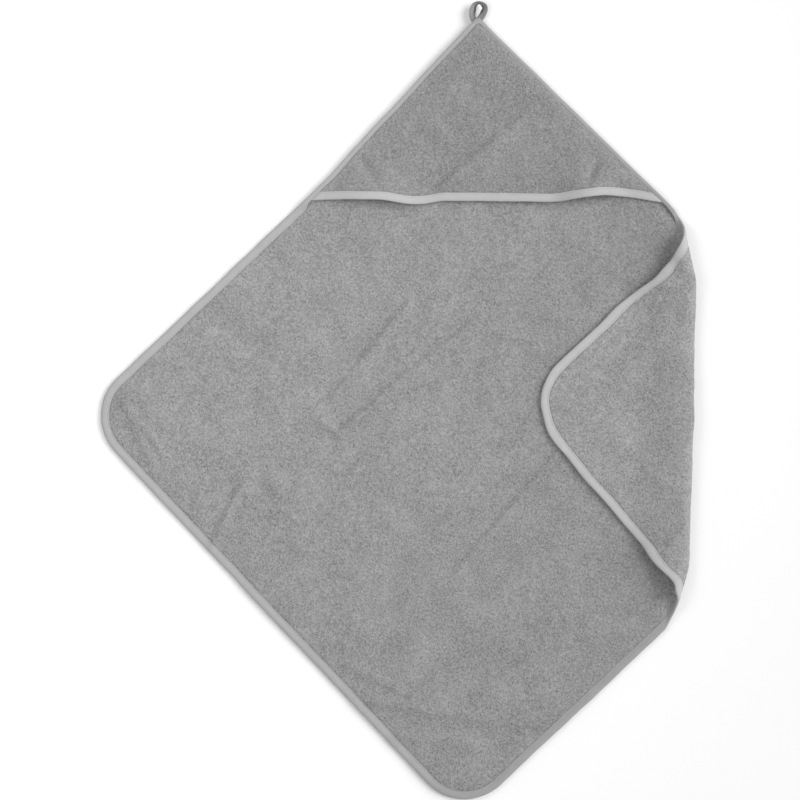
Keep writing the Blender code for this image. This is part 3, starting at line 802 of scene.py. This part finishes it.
def edge_stitches(name, run, carry, material, hood):
    """The seam through the tape along one run of the edge, as stitches returns it."""
    rows = ribbon(run, [0.0, THREAD_OFFSET, THREAD_OFFSET + ACROSS_STEP])
    edge, line = rows[:, 0], rows[:, 1]
    across = (rows[:, 2] - rows[:, 1]) / ACROSS_STEP
    height = np.zeros(len(line))
    if hood:
        height = seam_rise(edge[:, 0], edge[:, 1])
        line = draw_in(edge, line, tape_share(edge[:, 0], edge[:, 1])[:, None])
    return stitches(name, line, across, height, carry, material)


# ---- materials ----
class Shader:
    """A new material: its node tree, its shader, and nodes whose inputs are numbers or
    other nodes' outputs."""
    def __init__(self, name):
        self.material = bpy.data.materials.new(name)
        self.material.use_nodes = True
        self.tree = self.material.node_tree
        self.surface = self.tree.nodes["Principled BSDF"]
        self.place = self.node("TexCoord").outputs["Object"]

    def plug(self, socket, value):
        if isinstance(value, bpy.types.NodeSocket):
            self.tree.links.new(value, socket)
        else:
            socket.default_value = value

    def node(self, kind, inputs=(), **settings):
        node = self.tree.nodes.new("ShaderNode" + kind)
        for name, value in settings.items():
            setattr(node, name, value)
        for name, value in dict(inputs).items():
            self.plug(node.inputs[name], value)
        return node

    def math(self, operation, a, b=0.0):
        return self.node("Math", {0: a, 1: b}, operation=operation).outputs[0]

    def plus(self, a, b):
        return self.math("ADD", a, b)

    def times(self, a, b):
        return self.math("MULTIPLY", a, b)

    def attribute(self, name):
        return self.node("Attribute", attribute_name=name).outputs

    def shade(self):
        """The piece's painted shade or painted light where it has one, made to add nothing where it has
        none.
        """
        return self.plus(self.attribute("shade")["Fac"], 0.5)

    def noise(self, scale, detail=2.0):
        """Noise from 0 to 1. The scale is in features per metre."""
        return self.node("TexNoise", {"Vector": self.place, "Scale": scale,
                                      "Detail": detail}).outputs["Fac"]

    def colour(self, colour, parts):
        """Base colour times 1 plus each part's amount of its noise about the middle."""
        total = 1.0
        for fac, amount in parts:
            total = self.plus(self.times(self.math("SUBTRACT", fac, 0.5), amount), total)
        scale = self.node("VectorMath", {0: colour, "Scale": total}, operation="SCALE")
        self.plug(self.surface.inputs["Base Color"], scale.outputs[0])

    def bump(self, height, distance, strength):
        node = self.node("Bump", {"Distance": distance, "Strength": strength, "Height": height})
        self.plug(self.surface.inputs["Normal"], node.outputs["Normal"])

    def finish(self, fine, rough, uneven, **inputs):
        """Roughness with a share of the fine noise, and the shader's other numbers."""
        self.plug(self.surface.inputs["Roughness"], self.plus(rough, self.times(fine, uneven)))
        for name, value in inputs.items():
            self.surface.inputs[name.replace("_", " ")].default_value = value
        return self.material


def terry_material(name, colour):
    """Looped pile: tufts about 1.5 mm across, mottled where the loops lean different ways."""
    made = Shader(name)
    loops = made.node("TexVoronoi", {"Vector": made.place, "Scale": 620.0, "Smoothness": 0.4},
                      feature="SMOOTH_F1")
    fine, tuft, patch = made.noise(1500.0), made.noise(330.0), made.noise(90.0, 3.0)
    loop = made.math("SUBTRACT", 1.0, loops.outputs["Distance"])
    # Painted light: where a piece has painted shading, the pile is made lighter by 30 % of it.
    made.colour(colour, [(loop, 0.50), (fine, 0.50), (tuft, 1.10), (patch, 0.30),
                         (made.noise(22.0), 0.32), (made.shade(), 0.30)])
    height = made.plus(made.plus(loop, made.times(fine, 0.5)), made.times(tuft, 1.2))
    made.bump(height, 0.0009, 0.75)
    return made.finish(fine, 0.88, 0.12, Sheen_Weight=0.20, Sheen_Roughness=0.45,
                       Specular_IOR_Level=0.15)


RIB_RATE, COURSE_RATE = 7400.0, 8900.0  # of the knit's two directions, radians per metre


def jersey_material(name, colour):
    """Fine knit: ribs along the tape with the small stitches of the knit across them."""
    made = Shader(name)
    split = made.node("SeparateXYZ", {"Vector": made.attribute("weave")["Vector"]}).outputs
    ribs, courses = (made.math("SINE", made.times(split[axis], rate))
                     for axis, rate in (("Y", RIB_RATE), ("X", COURSE_RATE)))
    fine = made.noise(1100.0)
    knit = made.times(made.times(made.plus(ribs, 1.2), made.plus(courses, 1.6)), 0.18)
    # Painted shade: where a piece has painted shading, the tape is darkened by 60 % of it.
    made.colour(colour, [(knit, 0.08), (fine, 0.16), (made.noise(130.0, 3.0), 0.10),
                         (made.shade(), -0.60)])
    made.bump(made.plus(knit, fine), 0.00018, 0.6)
    return made.finish(fine, 0.74, 0.14, Sheen_Weight=0.15, Sheen_Roughness=0.40,
                       Specular_IOR_Level=0.25)


def thread_material(name, colour):
    """Twisted polyester thread with a slight sheen."""
    made = Shader(name)
    wave = made.node("TexWave", {"Vector": made.place, "Scale": 900.0, "Distortion": 2.0})
    fine, twist = made.noise(900.0), wave.outputs["Fac"]
    made.colour(colour, [(twist, 0.16), (fine, 0.12)])
    made.bump(twist, 0.0001, 0.5)
    return made.finish(fine, 0.50, 0.15, Sheen_Weight=0.10)


def floor_material(name, colour):
    """A plain pale studio surface with the faintest unevenness."""
    made = Shader(name)
    made.colour(colour, [(made.noise(2.0), 0.01)])
    made.surface.inputs["Roughness"].default_value = 0.9
    return made.material


TERRY, TERRY_HOOD, TERRY_BACK = (
    terry_material(name, (grey, grey, grey)) for name, grey in (
        ("terry_pile", 0.290), ("terry_pile_hood", 0.264), ("terry_pile_back", 0.325)))
# Painted light: the band on the hood's free edge and the folded corner's tape are lighter copies of the same
# tape, for tape that lies flat facing up and catches more light than edge tape sloping to the floor.
JERSEY, LIT_BAND_JERSEY, LIT_FLAP_JERSEY, LOOP_JERSEY = (
    jersey_material(name, (grey, grey, blue)) for name, grey, blue in (
        ("jersey_tape", 0.400, 0.407), ("jersey_band", 0.465, 0.472),
        ("jersey_flap", 0.492, 0.499), ("jersey_loop", 0.36, 0.366)))
THREAD = thread_material("sewing_thread", (0.43, 0.43, 0.44))


# ---- the pieces ----
def set_painted_shading(piece, values):
    """Gives each point of a piece the painted shade or painted light that its material reads."""
    attribute = piece.data.attributes.new("shade", "FLOAT", "POINT")
    attribute.data.foreach_set("value", np.asarray(values, np.float32).ravel())


def finish_piece(piece, bodies, nodes, weights=None):
    """Sets what a piece rides on or bends between, and hides the parts that it stands for."""
    if isinstance(bodies, str):
        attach(piece, bodies)
    else:
        parent, child, start, end = bodies
        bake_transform(piece, parent, child, start=tuple(start), end=tuple(end))
        if weights is not None:
            shares = piece.data.attributes["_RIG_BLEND"].data
            shares.foreach_set("value", weights.astype(np.float32))
    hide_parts(*nodes)


def shared(x, y):
    """A plan point in the shared frame."""
    return np.array([x, y, 0]) + ORIGIN


# What each cloth bends between: the towel and a body, from one plan point to another. The
# folded corner and the hood are then weighted point by point.
BENDS = {body: ("towel", body, shared(*start), shared(*end)) for body, start, end in (
    ("left_corner", (LEFT_CUT_X, 0), (LEFT_FOLD_X - CUT_REACH, 0)),
    ("bottom_corner", (0, BOTTOM_CUT_Y), (0, BOTTOM_FOLD_Y - CUT_REACH)),
    ("right_corner", (RIGHT_CUT_X, 0), (0, 0)),
    ("hood", (0, 0.544), (0, 0.3)),
    ("hang_loop", (0, LOOP_BEND_Y[0]), (0, LOOP_BEND_Y[1])))}


def declare(plan, faces):
    """Works out the area that a piece was cut to, and does nothing more with it."""
    flat_area(plan, faces)


def painted_tape_shade(part, x, y):
    """Painted shade: the tape is darkened along the lower right edge and up to the fold, where it slopes
    down and turns on its edge, and on the folded corner up to its turn.
    """
    if part == "right_corner":
        return 0.49 * (1 - smooth(fold_profile(x, y)[-1], 0.30, 0.60))
    lower = smooth(x - 0.9 * y, 0.30, 0.46) * (y < 0.2)
    return 0.22 * np.maximum(lower, smooth(x, 0.215, 0.245) * (y > 0.2))


def add_panel(part, edges, cell, carry, bodies, also=((), ()),
              weigh=None):
    """A terry panel, the tape along each of its edges, and the seam through that tape. also
    names further nodes that the cloth and the tape stand for."""
    flap = part == "right_corner"
    cloth, plan, faces = terry_panel(f"{part}_terry_pile", list(edges.values()), cell, carry,
                                     TERRY_BACK if flap else TERRY)
    weights = weigh and weigh(*np.concatenate([plan, plan]).T)
    finish_piece(cloth, bodies, [f"{part}_terry", *also[0]], weights)
    extras = []
    for edge, run in edges.items():
        hood = flap or edge == "top_edge"
        tape, x, y = edge_tape(f"{edge}_binding_tape", run, carry,
                               LIT_FLAP_JERSEY if flap else JERSEY, hood)
        # painted shade on the tape where it slopes down and turns on its edge near the fold
        set_painted_shading(tape, painted_tape_shade(part, x, y))
        weights = weigh and weigh(x, y)
        finish_piece(tape, bodies, [f"{edge}_binding", *also[1]], weights)
        seam, x, y = edge_stitches(f"{edge}_binding_seam", run, carry, THREAD, hood)
        weights = weigh and np.tile(weigh(x, y), 2)
        finish_piece(seam, bodies, [f"{edge}_stitching"], weights)
        extras += [tape, seam]
    declare(plan, faces)


def build_towel():
    """The towel between its folds, then its three turned corners."""
    add_panel("main", {"top_edge": TOP_RUN, "lower_left_edge": LOWER_LEFT_RUN,
                       "lower_right_edge": LOWER_RIGHT_RUN}, CELL, carry_flat, "towel")
    for part, run in (("left_corner", LEFT_RUN), ("bottom_corner", BOTTOM_RUN)):
        add_panel(part, {part: run}, CELL, carry_flat, BENDS[part])
    add_panel("right_corner", {"right_corner": RIGHT_RUN}, FINE_CELL, carry_folded,
              BENDS["right_corner"],
              (["right_fold_terry"], ["right_fold_upper_binding", "right_fold_lower_binding"]),
              fold_weight)


def build_hood():
    """The hood's cloth, with painted light that makes its pile lighter beside the edge tape along its sides,
    and its free edge."""
    cloth, plan, faces = hood_panel("hood_terry_pile", TERRY_HOOD)
    x, y = np.concatenate([plan, plan]).T
    # Painted light: a band of pile beside the side edge tape is made lighter, less so on the right.
    painted_light_band = np.exp(-np.maximum(edge_depth(x, y) - 0.0055, 0.0) / 0.006)
    set_painted_shading(cloth, painted_light_band * np.where(x < LOOP_X, 1.0, 0.6))
    finish_piece(cloth, BENDS["hood"], ["hood_terry"], hood_share(x, y))
    offsets, heights = tape_section()
    x, y = hood_lines(offsets)
    z = np.broadcast_to(heights, x.shape) * (1 + 0.05 * noise(x, y, 0.006, 63))
    tape = make_piece("hood_edge_tape", carry_hood(x.ravel(), y.ravel(), z.ravel()),
                      loft_faces(*x.shape), LIT_BAND_JERSEY, places(x, offsets))
    finish_piece(tape, BENDS["hood"], ["hood_edge_binding"],
                 hood_share(x.ravel(), y.ravel()))
    rows = np.stack(hood_lines([THREAD_OFFSET, THREAD_OFFSET + ACROSS_STEP]), -1)
    across = (rows[:, 1] - rows[:, 0]) / ACROSS_STEP
    seam, x, y = stitches("hood_edge_seam", rows[:, 0], across, np.zeros(len(rows)), carry_hood,
                          THREAD)
    finish_piece(seam, BENDS["hood"], ["hood_edge_stitching"],
                 np.tile(hood_share(x, y), 2))
    declare(plan, faces)


def spline(rows):
    """A smooth curve through rows of values."""
    rows = np.array(rows)
    padded = np.concatenate([2 * rows[:1] - rows[1:2], rows, 2 * rows[-1:] - rows[-2:-1]])
    made = []
    t = (np.arange(LOOP_PER_SPAN) / LOOP_PER_SPAN)[:, None]
    for p, q, r, w in zip(padded, padded[1:], padded[2:], padded[3:]):
        made.append(q + 0.5 * t * (r - p + t * (2 * p - 5 * q + 4 * r - w
                                                + t * (3 * (q - r) + w - p))))
    return np.concatenate(made + [rows[-1:]])


def loop_frames():
    """Along the loop's tape: its middle, half its width, and the direction through it."""
    table = spline(LOOP_PATH)
    middle = table[:, :3] + (LOOP_X, 0.0, 0.0)
    along = np.gradient(middle, axis=0)
    along /= np.linalg.norm(along, axis=1)[:, None]
    across = np.cross(along, [0, 0, 1])
    across /= np.linalg.norm(across, axis=1)[:, None]
    up = np.cross(across, along)
    turn = np.radians(table[:, 4:5])
    wide = across * np.cos(turn) + up * np.sin(turn)
    thick = up * np.cos(turn) - across * np.sin(turn)
    return middle, wide * table[:, 3:4] / 2, thick


def build_loop():
    """The loop's folded tape, a flat section with a groove beside each of its edges."""
    middle, wide, thick = loop_frames()
    turn = 2 * math.pi * np.arange(24) / 24
    u = np.sign(np.cos(turn)) * np.abs(np.cos(turn)) ** 0.6
    v = np.sign(np.sin(turn)) * np.abs(np.sin(turn)) ** 0.7
    groove = 1 - 0.35 * np.exp(-((np.abs(u) - 0.78) / 0.07) ** 2)
    half = LOOP_THICKNESS / 2 * groove * v
    points = middle[:, None] + wide[:, None] * u[:, None] + thick[:, None] * half[:, None]
    loop = make_piece("hanging_loop_tape", points.reshape(-1, 3),
                      loft_faces(len(middle), len(turn)), LOOP_JERSEY,
                      places(lengths(middle)[:, None], u * 0.0045))
    # Painted shade: the loop's tape is darkened, most on the inner side of its limbs where they face each
    # other, and less along its root.
    painted_inner_shade = 0.35 + 0.95 * smooth(-u, -0.1, 0.5)
    set_painted_shading(loop, 0.55 + (painted_inner_shade - 0.55) * smooth(middle[:, 1:2], 0.538, 0.548))
    finish_piece(loop, BENDS["hang_loop"], ["hanging_loop"])


def build_bartack():
    """A zigzag of thread across the tape where the loop is sewn down."""
    low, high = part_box("loop_bartack")
    passes, steps, sides = 11, 7, 6
    count = passes * steps
    t = np.linspace(0, 1, count)
    zig = np.abs((t * passes) % 2 - 1) * 2 - 1
    along = 0.42 * (high.x - low.x) * (2 * t - 1) * 0.62
    y = (low.y + high.y) / 2 - ORIGIN[1] + 0.0008
    centre = np.stack([LOOP_X - 0.0035 + along, y + along * 0.9 + 0.0011 * zig,
                       np.full(count, 0.01135)], -1)
    angle = 2 * math.pi * np.arange(sides) / sides
    ring = np.stack([np.cos(angle), np.zeros(sides), np.sin(angle)], -1) * 0.00028
    points = centre[:, None] + ring
    bar = make_piece("loop_bartack_thread", points.reshape(-1, 3), loft_faces(count, sides),
                     THREAD)
    finish_piece(bar, BENDS["hang_loop"], ["loop_bartack"])


# ---- the studio ----
VIEW_WIDTH = 1.0004  # of the picture, in towel lengths
VIEW_AIM = (0.0037, -0.0044)  # its middle, from the middle of the towel's box
VIEW_TURN = 1.316  # degrees that the towel leans in the picture


def build_studio():
    """A pale floor, white surroundings, a soft key light from the right and a small fill."""
    mesh = bpy.data.meshes.new("floor")
    mesh.from_pydata([(-6, -6, 0), (6, -6, 0), (6, 6, 0), (-6, 6, 0)], [], [(0, 1, 2, 3)])
    mesh.materials.append(floor_material("studio_floor", (0.96, 0.96, 0.96)))
    add_object("floor", mesh, (0, 0, -0.0005))

    world = bpy.data.worlds.new("studio")
    world.use_nodes = True
    background = world.node_tree.nodes["Background"]
    background.inputs["Color"].default_value = (1.0, 1.0, 1.0, 1.0)
    background.inputs["Strength"].default_value = 0.52
    bpy.context.scene.world = world

    light = bpy.data.lights.new("soft_key", "SUN")
    light.angle = math.radians(42.0)
    light.energy = 2.2
    key = add_object("soft_key", light, (1.9, 0.5, 1.5))
    key.rotation_euler = (-key.location).to_track_quat("-Z", "Y").to_euler()
    fill_light = bpy.data.lights.new("soft_fill", "AREA")
    fill_light.shape, fill_light.size, fill_light.energy = "DISK", 0.6, 2.8
    add_object("soft_fill", fill_light, (-0.32, 0.20, 0.95)).visible_camera = False
    bpy.context.scene.view_settings.view_transform = "Standard"


def build_camera():
    """Straight down on the towel, turned a little so that it leans as it was laid."""
    data = bpy.data.cameras.new("camera")
    data.lens = 85.0
    data.sensor_width = 36.0
    low, high = CAD_BOX
    distance = (high[1] - low[1]) * VIEW_WIDTH * data.lens / data.sensor_width
    camera = add_object("camera", data, ((low[0] + high[0]) / 2 + VIEW_AIM[0],
                                         (low[1] + high[1]) / 2 + VIEW_AIM[1], distance))
    camera.rotation_euler = (0.0, 0.0, math.radians(VIEW_TURN))
    bpy.context.scene.camera = camera


build_towel()
build_hood()
build_loop()
build_bartack()
build_studio()
build_camera()
bpy.context.view_layer.update()
